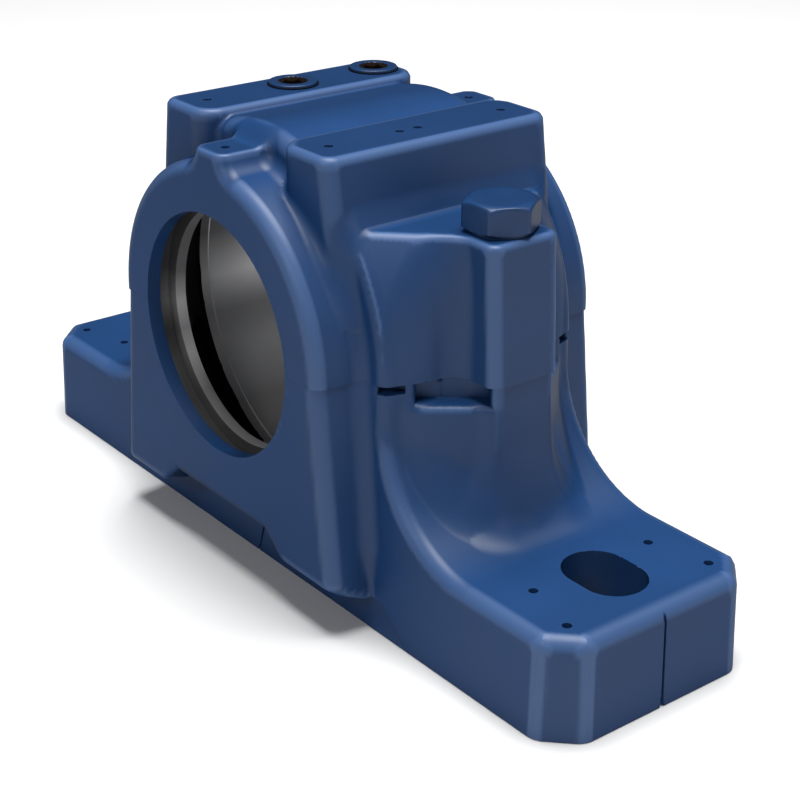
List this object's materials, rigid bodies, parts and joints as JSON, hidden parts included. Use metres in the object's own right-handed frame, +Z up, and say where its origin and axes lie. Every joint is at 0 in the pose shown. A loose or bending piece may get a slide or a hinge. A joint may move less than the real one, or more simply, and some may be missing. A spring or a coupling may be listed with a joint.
{
  "type": "split plummer block",
  "caption": "Two-piece cast pillow housing with slotted feet, round end collars, a machined bearing seat, a bolted cap with two flat pads, and grease plugs.",
  "frame": {"origin": "middle of the flat underside of the base, below the middle of the bearing seat", "axes": "+X along the feet, +Y along the shaft toward the end with the second plug, +Z up"},
  "size_m": [0.255, 0.095, 0.1281],
  "materials": {
    "painted_iron": "satin blue paint over cast iron, bare turned metal in the bore",
    "painted_steel": "satin blue paint",
    "ground_steel": "ground",
    "black_seal": "matte"
  },
  "bodies": {
    "root": {"base": "painted_iron", "cap": "painted_iron", "cap_bolt_left": "painted_steel", "cap_bolt_right": "painted_steel", "locating_pin_left": "ground_steel", "locating_pin_right": "ground_steel", "lube_plug_middle": "painted_steel", "lube_plug_rear": "painted_steel", "plug_washer_middle": "black_seal", "plug_washer_rear": "black_seal"}
  },
  "joints": []
}
